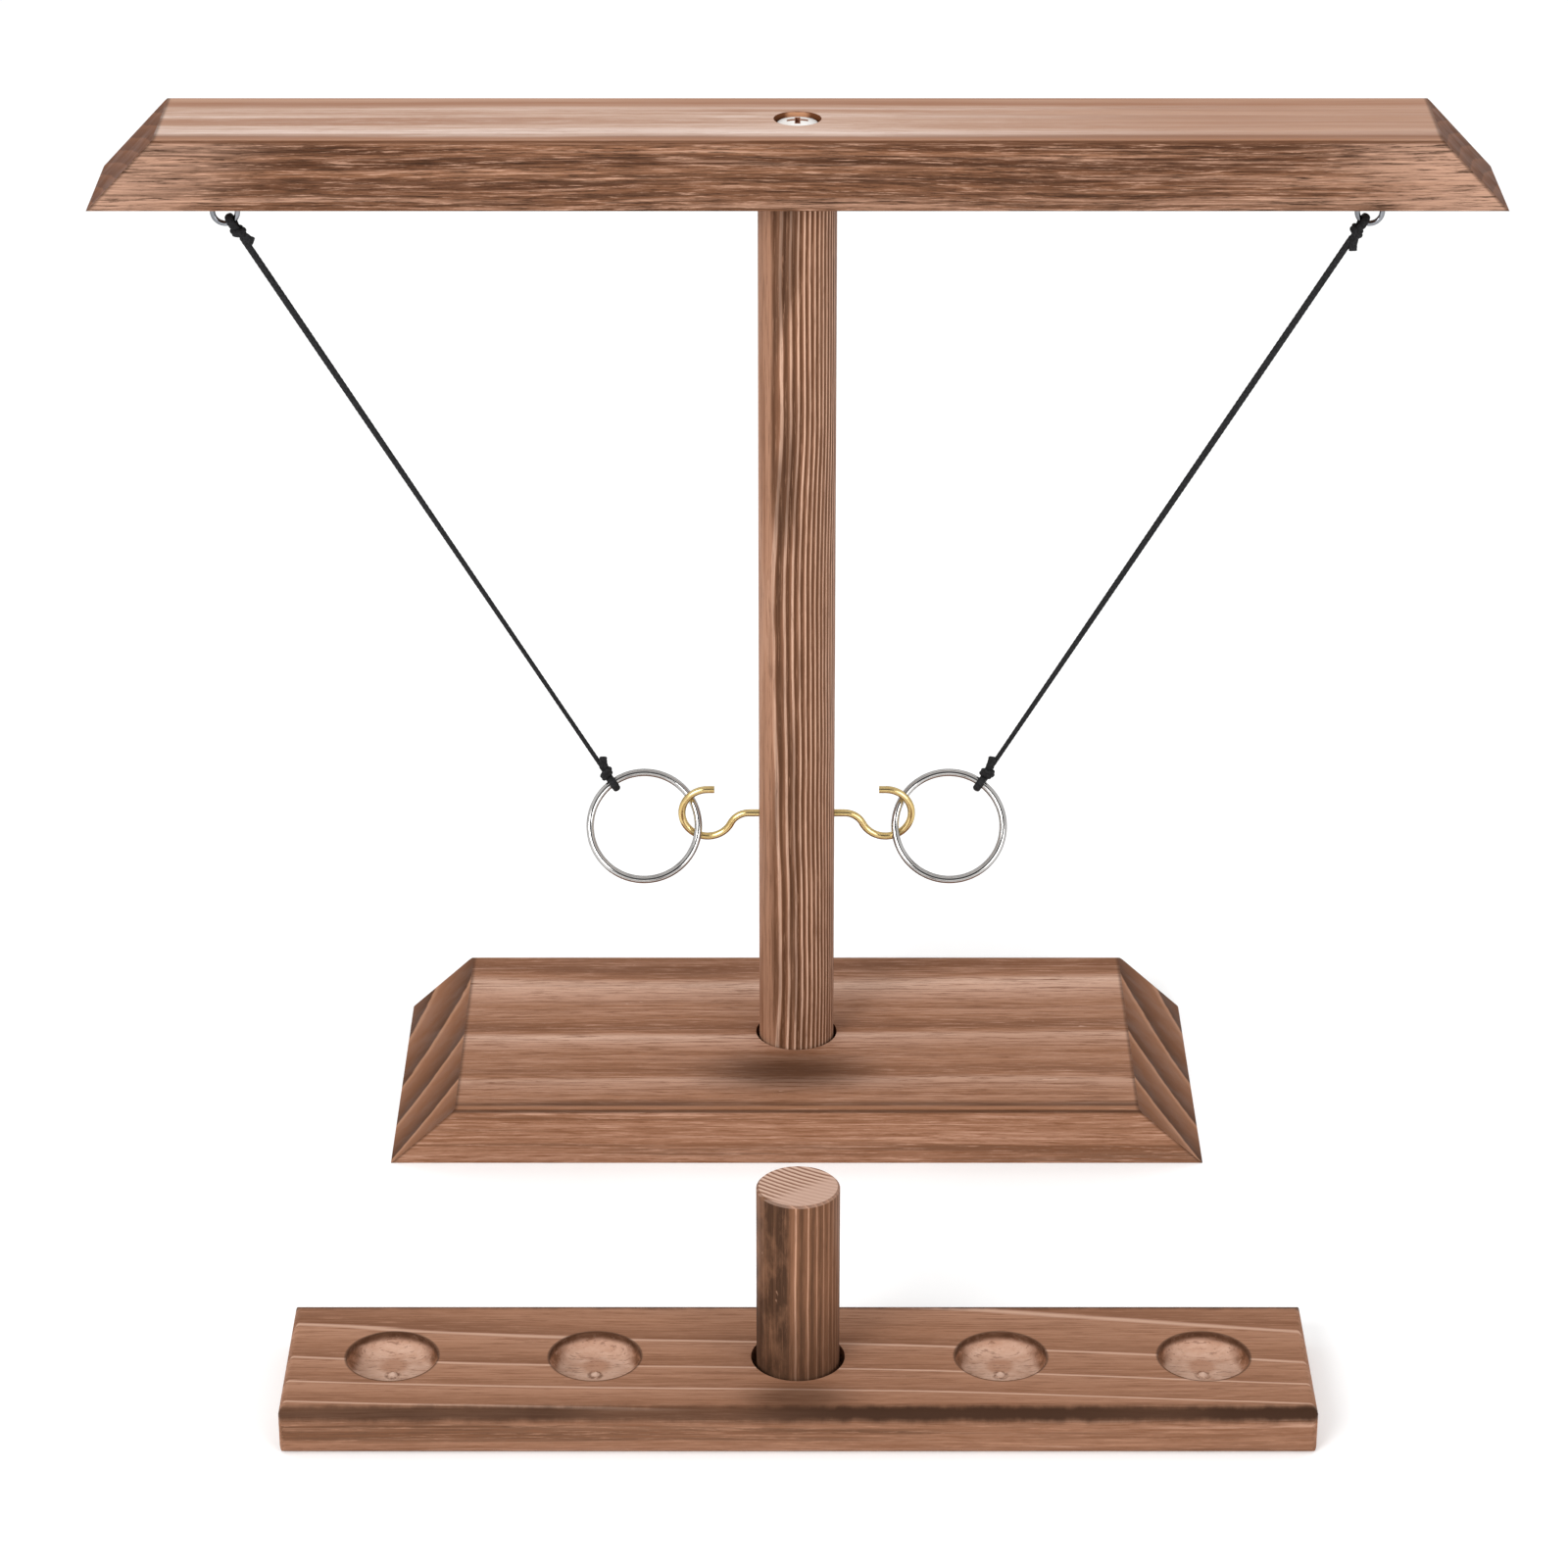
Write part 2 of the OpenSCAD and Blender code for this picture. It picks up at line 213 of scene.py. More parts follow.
def smooth_line(points):
    """Points about CORD_STEP apart on a smooth curve through the given points."""
    line = []
    padded = [2 * points[0] - points[1], *points, 2 * points[-1] - points[-2]]
    for a, b, c, d in zip(padded, padded[1:], padded[2:], padded[3:]):
        count = max(1, round((c - b).length / CORD_STEP))
        square_part = 2 * a - 5 * b + 4 * c - d
        cube_part = 3 * b - a - 3 * c + d
        for i in range(count):
            t = i / count
            line.append(0.5 * (2 * b + (c - a) * t + square_part * t**2 + cube_part * t**3))
    return [*line, points[-1]]


def tube(line, wide, radius=CORD_D / 2, flat=0.0, twist=0.0):
    """Vertices and faces of a braided tube round a line, with closed ends.
    flat is the share by which it is wider along wide, and that way turns by twist on its way."""
    vertices, faces = [], []
    heading = (line[1] - line[0]).normalized()
    across = (wide - wide.project(heading)).normalized()
    travelled = 0
    for i, point in enumerate(line):
        ahead = (line[min(i + 1, len(line) - 1)] - line[max(i - 1, 0)]).normalized()
        across = (heading.rotation_difference(ahead) @ across).normalized()
        heading = ahead
        other = heading.cross(across)
        if i:
            travelled += (point - line[i - 1]).length
        turned = twist * i / (len(line) - 1)
        lay = 2 * math.pi * travelled / BRAID_PITCH
        for j in range(CORD_SIDES):
            angle = 2 * math.pi * j / CORD_SIDES
            strand = BRAID_STRANDS * angle / 2
            weave = math.cos(strand + lay) * math.cos(strand - lay)
            width = 1 + flat * math.cos(2 * (angle - turned))
            reach = radius * width * (1 + BRAID_RELIEF * weave)
            vertices.append(point + reach * (math.cos(angle) * across + math.sin(angle) * other))
    for i in range(len(line) - 1):
        for j in range(CORD_SIDES):
            a, b = i * CORD_SIDES + j, i * CORD_SIDES + (j + 1) % CORD_SIDES
            faces.append((a, b, b + CORD_SIDES, a + CORD_SIDES))
    last = (len(line) - 1) * CORD_SIDES
    faces.append(tuple(reversed(range(CORD_SIDES))))
    faces.append(tuple(range(last, last + CORD_SIDES)))
    return vertices, faces


def cord_piece(name, tubes, body, node, material):
    """One object made of braided tubes, which stands for a soft solid of the frame."""
    vertices, faces = [], []
    for tube_vertices, tube_faces in tubes:
        base = len(vertices)
        vertices += tube_vertices
        faces += [tuple(base + index for index in face) for face in tube_faces]
    mesh = bpy.data.meshes.new(name)
    mesh.from_pydata(vertices, [], faces)
    mesh.shade_smooth()
    mesh.materials.append(material)
    piece = bpy.data.objects.new(name, mesh)
    bpy.context.scene.collection.objects.link(piece)
    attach(piece, body)
    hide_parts(node)
    return piece


def loop_line(hold, out, sideways, loop_r, way):
    """The loop round a wire at hold, from the knot and back to it."""
    foot = hold + way * (loop_r + 0.5 * KNOT_L)
    points = [foot]
    for degrees in range(-LOOP_REACH, LOOP_REACH + 1, LOOP_STEP):
        angle = math.radians(degrees)
        points.append(hold + loop_r * (math.sin(angle) * sideways - math.cos(angle) * out))
    return smooth_line([*points, foot + way * LOOP_GAP])


def wrap_line(hold, sideways, loop_r, way):
    """The knot's turns, which lie aslant and are fullest in the middle."""
    across = way.cross(sideways).normalized()
    points = []
    steps = TURN_POINTS * KNOT_TURNS
    for i in range(steps + 1):
        share = i / steps
        angle = 2 * math.pi * KNOT_TURNS * share
        fullness = 1 - TURN_SLIMMING + TURN_SLIMMING * math.sin(math.pi * share)
        turn_r = (KNOT_D - CORD_D) / 2 * fullness
        along = loop_r + CORD_D * (TURNS_START + TURNS_RUN * share) + TURN_SLANT * turn_r * math.cos(angle)
        points.append(hold + way * along + turn_r * (math.sin(angle) * sideways + math.cos(angle) * across))
    return smooth_line(points)


def knot_tubes(hold, out, sideways, loop_r, way, to_cut):
    """The cord's loop round a wire at hold, the turns of the knot behind it, and the flat tail.
    out points from the wire to the knot, sideways lies across the wire, way leads along the cord, and
    to_cut leads from the knot's middle to the tail's cut end."""
    middle = hold + way * (loop_r + 0.5 * KNOT_L)
    tail = [middle + to_cut * share for share in TAIL_SHARES]
    tail[1] += way * TAIL_BOW * CORD_D
    straight = [hold + way * (loop_r + share * KNOT_L) for share in STRAIGHT_SHARES]
    return [
        tube(loop_line(hold, out, sideways, loop_r, way), way.cross(sideways), LOOP_THICK / 2, LOOP_FLAT),
        tube(wrap_line(hold, sideways, loop_r, way), way),
        tube(smooth_line(tail), BACK.cross(to_cut), TAIL_THICK / 2, TAIL_FLAT),
        tube(smooth_line(straight), sideways),
    ]


def make_line(side, name, eye_tail, ring_tail, material):
    """One side's cord and its two knots; eye_tail and ring_tail lead to the tails' cut ends."""
    line = CordLine(side)
    body = f"{name}_line"
    eye_tubes = knot_tubes(line.eye_hold, line.eye_out, BACK, line.eye_loop_r, line.way, eye_tail)
    eye_knot = cord_piece(f"{name}_eye_loop", eye_tubes, body, f"{name}_eye_knot", material)
    ring_tubes = knot_tubes(
        line.ring_hold, line.ring_out, line.ring_normal, line.ring_loop_r, -line.way, ring_tail
    )
    ring_knot = cord_piece(f"{name}_ring_loop", ring_tubes, body, f"{name}_ring_knot", material)
    run = line.end - line.start
    path = [line.start + run * i / (CORD_PATH_POINTS - 1) for i in range(CORD_PATH_POINTS)]
    lace_tube = tube(smooth_line(path), BACK.cross(line.way), flat=CORD_FLAT, twist=CORD_TWIST)
    cord = cord_piece(f"{name}_lace", [lace_tube], body, f"{name}_cord", material)


# Materials


class Tree:
    """The nodes of a material or a world, with a short call for each kind."""

    def __init__(self, owner):
        owner.use_nodes = True
        self.nodes = owner.node_tree.nodes
        self.links = owner.node_tree.links

    def put(self, socket, value):
        """Links a socket to another one, or gives it a plain value."""
        if isinstance(value, bpy.types.NodeSocket):
            self.links.new(value, socket)
        else:
            socket.default_value = value

    def math(self, operation, *values):
        """One step of arithmetic, on sockets and plain values."""
        node = self.nodes.new("ShaderNodeMath")
        node.operation = operation
        for socket, value in zip(node.inputs, values):
            self.put(socket, value)
        return node.outputs[0]

    def product(self, first, *others):
        """All of the values multiplied."""
        for other in others:
            first = self.math("MULTIPLY", first, other)
        return first

    def distance(self, first, second):
        """Length of the line with these two sides."""
        squares = [self.product(side, side) for side in (first, second)]
        return self.math("SQRT", self.math("ADD", *squares))

    def split(self, vector):
        """X, Y and Z of a vector."""
        node = self.nodes.new("ShaderNodeSeparateXYZ")
        self.put(node.inputs[0], vector)
        return node.outputs

    def join(self, x, y, z):
        """A vector from its X, Y and Z."""
        node = self.nodes.new("ShaderNodeCombineXYZ")
        for socket, value in zip(node.inputs, (x, y, z)):
            self.put(socket, value)
        return node.outputs[0]

    def noise(self, vector, scale, detail=2.0, roughness=0.5):
        """Smooth noise from 0 to 1, with scale cells per metre along each axis."""
        stretch = self.nodes.new("ShaderNodeVectorMath")
        stretch.operation = "MULTIPLY"
        self.put(stretch.inputs[0], vector)
        stretch.inputs[1].default_value = scale
        node = self.nodes.new("ShaderNodeTexNoise")
        self.put(node.inputs["Vector"], stretch.outputs[0])
        node.inputs["Scale"].default_value = 1
        node.inputs["Detail"].default_value = detail
        node.inputs["Roughness"].default_value = roughness
        return node.outputs["Fac"]

    def fade(self, value, start, end, low=0.0, high=1.0):
        """Goes smoothly from low, where value is at start, to high, where it is at end."""
        node = self.nodes.new("ShaderNodeMapRange")
        node.interpolation_type = "SMOOTHSTEP"
        self.put(node.inputs["Value"], value)
        node.inputs["From Min"].default_value = start
        node.inputs["From Max"].default_value = end
        node.inputs["To Min"].default_value = low
        node.inputs["To Max"].default_value = high
        return node.outputs[0]

    def between(self, value, start, full, past, end):
        """Rises from 0 at start to 1 at full, and falls again from past to end."""
        return self.product(self.fade(value, start, full), self.fade(value, past, end, 1, 0))

    def ramp(self, value, *stops):
        """A colour that follows a value, through stops of a position and a colour each."""
        node = self.nodes.new("ShaderNodeValToRGB")
        self.put(node.inputs[0], value)
        elements = node.color_ramp.elements
        while len(elements) < len(stops):
            elements.new(0.5)
        for element, (position, colour) in zip(elements, stops):
            element.position = position
            element.color = colour
        return node.outputs["Color"]

    def mix(self, share, first, second):
        """The first colour where share is 0, and the second where it is 1."""
        node = self.nodes.new("ShaderNodeMix")
        node.data_type = "RGBA"
        self.put(node.inputs["Factor"], share)
        colour_a, colour_b = [s for s in node.inputs if s.type == "RGBA"]
        self.put(colour_a, first)
        self.put(colour_b, second)
        return [s for s in node.outputs if s.type == "RGBA"][0]

    def tint(self, share, amount, colour, tone):
        """Turns a colour towards a tone, by amount where share is 1."""
        return self.mix(self.product(share, amount), colour, tone)


class Paint(Tree):
    """A material with its shader, and the place and facing of each point of a surface."""

    def __init__(self, name):
        self.material = bpy.data.materials.new(name)
        super().__init__(self.material)
        self.shader = self.nodes["Principled BSDF"]
        coordinates = self.nodes.new("ShaderNodeTexCoord")
        self.place = coordinates.outputs["Object"]
        self.normal = coordinates.outputs["Normal"]

    def set(self, **values):
        """Sets or links the shader's own sockets, written with _ for a space."""
        for name, value in values.items():
            self.put(self.shader.inputs[name.replace("_", " ")], value)

    def bump(self, height, strength, distance):
        """Gives the surface a fine relief."""
        node = self.nodes.new("ShaderNodeBump")
        self.put(node.inputs["Height"], height)
        node.inputs["Strength"].default_value = strength
        node.inputs["Distance"].default_value = distance
        self.put(self.shader.inputs["Normal"], node.outputs[0])


def cord_black():
    """Soft black braid, with lighter worn strands."""
    paint = Paint("cord_black")
    strands = paint.noise(paint.place, (1800, 1800, 1800), 3)
    paint.set(
        Base_Color=paint.ramp(strands, (0.35, srgb(12, 12, 13)), (0.7, srgb(38, 38, 40))),
        Roughness=0.8,
        Specular_IOR_Level=0.25,
    )
    paint.bump(strands, 0.5, 0.2 * MM)
    return paint.material


class Lumber(Paint):
    """Carbonised softwood: hard late wood stays pale in thin lines, with burnt early wood between them.
    grain is the axis along the fibres, and across and depth are the other two."""

    # The fibres' slow sway: its noise cells per metre along and across the grain, and its size
    SWAY_CELLS = (5, 30, 30)
    SWAY = 5 * MM
    # The rings' short waves: how many lie along one long wave, and noise cells per metre across the grain
    RIPPLES_PER_WAVE = 5
    RIPPLE_SPREAD = 260
    # What streaks takes for long soft fibres and for fine short ones, with their strength, and for pores
    FIBRES = (((9, 820, 3, 0.6), 0.55), ((85, 1900, 4, 0.75), 1.0))
    PORES = (34, 2300, 2, 0.5)
    # The satin surface: its roughness in smooth and rough patches, its gloss, and the relief of the grain
    ROUGHNESS = (0.5, 0.68)
    SPECULAR = 0.08
    RELIEF_STRENGTH = 0.3
    RELIEF = 0.25 * MM

    def __init__(self, name, axis):
        super().__init__(name)
        self.x, self.y, self.z = self.split(self.place)
        self.grain, self.across, self.depth = {
            "X": (self.x, self.y, self.z),
            "Z": (self.z, self.x, self.y),
        }[axis]
        straight = self.join(self.grain, self.across, self.depth)
        sway = self.product(self.noise(straight, self.SWAY_CELLS), self.SWAY)
        swayed = [self.math("ADD", side, sway) for side in (self.across, self.depth)]
        self.stock = self.join(self.grain, *swayed)

    def streaks(self, run, spread, detail=4.0, roughness=0.6):
        """Noise drawn out along the grain, with run cells per metre along it and spread across it."""
        return self.noise(self.stock, (run, spread, spread), detail, roughness)

    def rings(self, pith, pitch, warp, run, spread, ripple, offset=0.0, slant=0.0):
        """Place within a year's growth, from 0 at its start to 1, round a pith line along the grain.
        warp bends the rings in long waves of run and spread cells per metre, ripple bends them in short
        ones, offset shifts them by a share of a year, and slant widens them along the grain."""
        from_pith = self.distance(
            self.math("SUBTRACT", self.across, pith[0]), self.math("SUBTRACT", self.depth, pith[1])
        )
        wave = self.product(self.streaks(run, spread, 2, 0.45), warp)
        tremble = self.product(self.streaks(self.RIPPLES_PER_WAVE * run, self.RIPPLE_SPREAD, 2), ripple)
        widened = self.math("MULTIPLY_ADD", self.grain, slant, from_pith)
        reach = self.math("ADD", widened, self.math("ADD", wave, tremble))
        return self.math("FRACT", self.math("ADD", self.math("DIVIDE", reach, pitch), offset))

    def weathered(self, colour, dark, pale, amount):
        """Adds fibres to a colour, both dark and pale ones, and dark pores."""
        for cells, share in self.FIBRES:
            fibres = self.streaks(*cells)
            colour = self.tint(self.fade(fibres, 0.5, 0.66), 0.75 * share * amount, colour, dark)
            colour = self.tint(self.fade(fibres, 0.47, 0.33), 0.6 * share * amount, colour, pale)
        pores = self.fade(self.streaks(*self.PORES), 0.6, 0.68)
        return self.tint(pores, 0.5 * amount, colour, dark)

    def finish(self, colour, relief):
        """Sets the colour, a satin surface that is rougher in patches, and the relief of the grain."""
        patches = self.noise(self.stock, (30, 140, 140), 3)
        self.set(
            Base_Color=colour,
            Roughness=self.fade(patches, 0.3, 0.7, *self.ROUGHNESS),
            Specular_IOR_Level=self.SPECULAR,
        )
        self.bump(relief, self.RELIEF_STRENGTH, self.RELIEF)
        return self.material


class Plank(Lumber):
    """A board along X with planed faces, and burnt lines where they meet.
    end_run is the length along X of its sloped ends."""

    # Bands along a long top edge: where each starts, is full, fades and ends, measured from the crease,
    # with the top on the positive side and the side of the board on the negative one
    CREASE = (-1.2 * MM, -0.3 * MM, 0.4 * MM, 0.9 * MM)
    STRIP = (0.8 * MM, 1.3 * MM, 2.4 * MM, 3.2 * MM)
    SCORCH = (2.4 * MM, 3.2 * MM, 3.8 * MM, 7 * MM)
    # The burnt line beside a sloped end: where it is full and where it ends
    END_CREASE = (0.2 * MM, 1.3 * MM)

    def __init__(self, name, node, end_run):
        super().__init__(name, "X")
        self.low, self.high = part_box(node)
        self.sides = ((self.low.y, 1), (self.high.y, -1))
        self.below_top = self.math("SUBTRACT", self.high.z, self.z)
        slope = end_run / (self.high.z - self.low.z)
        height = self.math("SUBTRACT", self.z, self.low.z)
        along = self.math("SUBTRACT", self.high.x, self.math("ABSOLUTE", self.x))
        self.from_end = self.math("SUBTRACT", along, self.product(height, slope))
        facing = self.split(self.normal)
        self.end_face = self.fade(self.math("ABSOLUTE", facing[0]), 0.3, 0.6)
        self.side_face = self.fade(self.math("ABSOLUTE", facing[1]), 0.5, 0.9)
        self.top_face = self.fade(facing[2], 0.75, 0.95)

    def inside(self, face, inward):
        """Distance from the long side at face in Y; inward is 1 from the near side and -1 from the far."""
        return self.product(self.math("SUBTRACT", self.y, face), inward)

    def around(self, x, y, narrow=1):
        """Distance from a place on top, measured narrow times as long along X."""
        along = self.product(self.math("SUBTRACT", self.x, x), narrow)
        return self.distance(along, self.math("SUBTRACT", self.y, y))

    def streaky(self, dark, mid, pale):
        """Colour of a side that is sawn across the growth: uneven streaks along the grain."""
        drawn = self.streaks(3, 190, 4, 0.62)
        return self.ramp(drawn, (0.4, dark), (0.48, mid), (0.54, mid), (0.62, pale))

    def long_edges(self, colour, burn, plain, scorched):
        """The long top edges: a burnt line on each crease, and beside the near one a plain strip and a
        broken scorched one."""
        near, far = [
            self.math("SUBTRACT", self.inside(face, inward), self.below_top) for face, inward in self.sides
        ]
        for past in (near, far):
            colour = self.tint(self.between(past, *self.CREASE), 0.8, colour, burn)
        colour = self.tint(self.between(near, *self.STRIP), 0.7, colour, plain)
        broken = self.fade(self.streaks(6, 60, 3), 0.42, 0.58)
        scorch = self.product(self.between(near, *self.SCORCH), broken)
        return self.tint(scorch, 0.65, colour, scorched)

    def ends(self, colour, burn, end_tone, rough_amount, rough_tone):
        """The sloped ends, with rough patches of another tone, and the burnt line beside them."""
        crease = self.fade(self.from_end, *self.END_CREASE, 1, 0)
        colour = self.tint(crease, 0.6, colour, burn)
        rough = self.noise(self.place, (60, 420, 900), 4, 0.7)
        return self.mix(self.end_face, colour, self.tint(rough, rough_amount, end_tone, rough_tone))

    def planed(self, colour):
        """Finishes the board with the fine relief of planed wood."""
        return self.finish(colour, self.streaks(30, 900, 2))


def base_board_wood():
    """Flat-sawn board: wide rings that rise to the back make broad pale bands on top and slanted ones on
    the ends."""
    wood = Plank("base_board_wood", "base_board", END_RUN)
    burn, dark, mid = srgb(66, 41, 27), srgb(118, 77, 53), srgb(153, 108, 81)
    faint, pale, line = srgb(168, 124, 99), srgb(186, 144, 121), srgb(208, 171, 150)
    growth = wood.rings(
        pith=(156 * MM, -118 * MM), pitch=15 * MM, warp=10 * MM, run=3.6, spread=10, ripple=1.4 * MM,
        offset=0.1,
    )
    colour = wood.ramp(
        growth, (0.0, mid), (0.09, line), (0.28, pale), (0.46, mid),
        (0.58, faint), (0.7, mid), (0.9, dark), (1.0, mid),
    )
    even = wood.fade(wood.streaks(3, 20, 2), 0.46, 0.66)
    colour = wood.tint(even, 0.5, colour, mid)
    sawn = wood.streaky(srgb(102, 68, 48), srgb(145, 103, 79), srgb(188, 146, 123))
    colour = wood.tint(wood.side_face, 0.9, colour, sawn)
    colour = wood.weathered(colour, dark, pale, 1.2)
    smoke = wood.product(
        wood.fade(wood.around(*BASE_SMOKE_AT, narrow=0.5), 2 * MM, 19 * MM, 1, 0),
        wood.fade(wood.streaks(8, 70), 0.3, 0.55, 0.4, 1),
        wood.top_face,
    )
    colour = wood.tint(smoke, 0.8, colour, burn)
    nicks = wood.fade(wood.noise(wood.place, (110, 330, 330)), 0.76, 0.79)
    colour = wood.tint(nicks, 0.6, colour, line)
    colour = wood.long_edges(colour, burn, mid, burn)
    end_tone = wood.ramp(
        growth, (0.0, srgb(66, 39, 23)), (0.06, srgb(176, 129, 99)), (0.18, srgb(142, 96, 68)),
        (0.55, srgb(116, 74, 48)), (1.0, srgb(70, 42, 25)),
    )
    return wood.planed(wood.ends(colour, burn, end_tone, 0.35, srgb(106, 66, 41)))


def beam_top(wood):
    """The beam's top: a painted pale sheen, giving way to the wood's brown to the right and along the long
    edges.
    """
    # Painted sheen: the pale top stands for light reflected at a grazing angle, not for the wood's own
    # colour
    painted_sheen = wood.ramp(
        wood.streaks(2.5, 170),
        (0.34, srgb(170, 129, 106)), (0.5, srgb(202, 171, 153)), (0.66, srgb(226, 205, 194)),
    )
    painted_sheen = wood.weathered(painted_sheen, srgb(164, 122, 98), srgb(226, 204, 192), 0.7)
    far_strip = wood.fade(wood.y, STAND_Y + 6 * MM, STAND_Y + 13 * MM, 0, 0.9)
    near_strip = wood.fade(wood.y, wood.low.y + 5 * MM, wood.low.y + 3 * MM, 0, 0.7)
    rightwards = wood.fade(wood.x, -20 * MM, 130 * MM, 0, 0.8)
    # Places where the painted sheen gives way to the wood's brown
    sheen_gone = wood.math("MAXIMUM", far_strip, wood.math("MAXIMUM", near_strip, rightwards))
    brown = wood.ramp(wood.streaks(3, 140), (0.4, srgb(158, 113, 87)), (0.68, srgb(194, 155, 132)))
    return wood.mix(sheen_gone, painted_sheen, brown)


def cross_beam_wood():
    """Streaky sides with close wavy lines, paler towards the ends, and a top with a painted pale sheen."""
    wood = Plank("cross_beam_wood", "cross_beam", END_RUN)
    burn, dark, mid = srgb(54, 34, 22), srgb(86, 54, 36), srgb(128, 88, 64)
    pale, line = srgb(162, 119, 94), srgb(190, 149, 125)
    growth = wood.rings(
        pith=(20 * MM, 80 * MM), pitch=3.4 * MM, warp=8 * MM, run=3, spread=12, ripple=0.9 * MM
    )
    lines = wood.ramp(growth, (0.0, mid), (0.3, dark), (0.6, mid), (0.82, pale), (0.92, line), (1.0, mid))
    even = wood.fade(wood.streaks(3, 40, 2), 0.4, 0.65, 0.3, 0.9)
    colour = wood.mix(even, lines, wood.streaky(dark, mid, line))
    colour = wood.tint(wood.fade(wood.streaks(2.5, 70, 3), 0.5, 0.66), 0.7, colour, dark)
    low_side = wood.fade(wood.below_top, 11 * MM, 16 * MM)
    colour = wood.tint(low_side, 0.45, colour, dark)
    to_end = wood.fade(wood.from_end, 45 * MM, 0)
    colour = wood.tint(to_end, 0.6, colour, srgb(196, 156, 133))
    colour = wood.weathered(colour, burn, line, 1.2)
    colour = wood.mix(wood.top_face, colour, beam_top(wood))
    in_bore = wood.product(wood.fade(wood.around(0, STAND_Y), *BORE_EDGE), wood.fade(wood.below_top, *SUNK))
    colour = wood.tint(in_bore, 0.85, colour, srgb(196, 144, 108))
    colour = wood.long_edges(colour, srgb(92, 59, 40), srgb(156, 111, 84), srgb(130, 88, 63))
    end_tone = wood.ramp(
        growth, (0.0, srgb(92, 54, 31)), (0.6, srgb(110, 67, 41)),
        (0.92, srgb(128, 82, 54)), (1.0, srgb(92, 54, 31)),
    )
    return wood.planed(wood.ends(colour, burn, end_tone, 0.7, srgb(98, 58, 34)))


def burnt_roundings(wood, colour, burn):
    """Burns a board's rounded long top edges, raggedly and in patches."""
    patchy = wood.fade(wood.noise(wood.place, (9, 9, 9)), 0.36, 0.56, 0.7, 1)
    ragged = wood.product(wood.noise(wood.place, (190, 90, 90), 4, 0.65), 2 * MM)
    for face, inward in wood.sides:
        to_edge = wood.distance(wood.below_top, wood.inside(face, inward))
        burnt = wood.fade(wood.math("ADD", to_edge, ragged), 2.8 * MM, 5.4 * MM, 1, 0)
        colour = wood.tint(burnt, patchy, colour, burn)
    return colour


def dish_bowl(wood, from_dish, to_centre, line):
    """Colour inside a dish: a torn pale floor round the turning nub with a patch of painted shade behind
    it, a darker mottled wall on the flanks, and painted shade on the wall just below the top edge.
    from_dish is the distance from the dish's middle along X, and to_centre the whole distance."""
    deep = srgb(104, 70, 50)
    mottle = wood.noise(wood.place, (160, 420, 420), 4, 0.7)
    speckle = wood.noise(wood.place, (700, 700, 700), 3, 0.7)
    wall = wood.ramp(mottle, (0.36, deep), (0.52, srgb(132, 92, 69)), (0.68, srgb(158, 116, 92)))
    wall = wood.tint(wood.fade(speckle, 0.58, 0.66), 0.3, wall, line)
    floor = wood.ramp(mottle, (0.3, srgb(186, 146, 123)), (0.7, srgb(208, 174, 154)))
    # Painted shade: a brown patch on the dish floor behind the nub
    from_shade_patch = wood.distance(from_dish, wood.math("SUBTRACT", wood.y, SCORE_Y + 4.5 * MM))
    floor = wood.tint(wood.fade(from_shade_patch, 4.8 * MM, 2.4 * MM), 0.6, floor, srgb(162, 115, 88))
    torn = wood.fade(wood.noise(wood.place, (260, 1500, 900), 3, 0.7), 0.56, 0.64)
    floor = wood.tint(torn, 0.5, floor, srgb(112, 74, 52))
    flank = wood.fade(from_dish, 7 * MM, 11 * MM)
    # Painted shade: the wall is darker just below the top edge, all round the dish
    brink_shade = wood.fade(wood.below_top, 3.2 * MM, 1 * MM)
    steep = wood.product(wood.fade(to_centre, *DISH_STEEP), wood.math("MAXIMUM", flank, brink_shade))
    bowl = wood.mix(steep, floor, wall)
    nub_ring = wood.product(wood.between(to_centre, *NUB_RING), wood.fade(speckle, 0.4, 0.56))
    bowl = wood.tint(nub_ring, 0.7, bowl, deep)
    return wood.tint(wood.fade(to_centre, *NUB_TOP), 0.55, bowl, srgb(216, 186, 168))


def dishes(wood, colour, burn, line):
    """Adds the dishes with their burnt rims to a board's colour, but not the peg's hole in the middle."""
    # Adding whole pitches keeps the wave's input positive over the whole board
    from_dish = wood.math("PINGPONG", wood.math("ADD", wood.x, 10 * DISH_PITCH), DISH_PITCH / 2)
    to_centre = wood.distance(from_dish, wood.math("SUBTRACT", wood.y, SCORE_Y))
    at_dish = wood.math("GREATER_THAN", wood.math("ABSOLUTE", wood.x), DISH_PITCH / 2)
    in_dish = wood.product(
        wood.fade(wood.below_top, *SUNK), wood.fade(to_centre, DISH_R + 1 * MM, DISH_R), at_dish
    )
    colour = wood.mix(in_dish, colour, dish_bowl(wood, from_dish, to_centre, line))
    near_top = wood.fade(wood.below_top, 3 * MM, 1 * MM)
    rim = wood.product(wood.between(to_centre, *DISH_RIM), at_dish, near_top)
    return wood.tint(rim, 0.7, colour, burn)


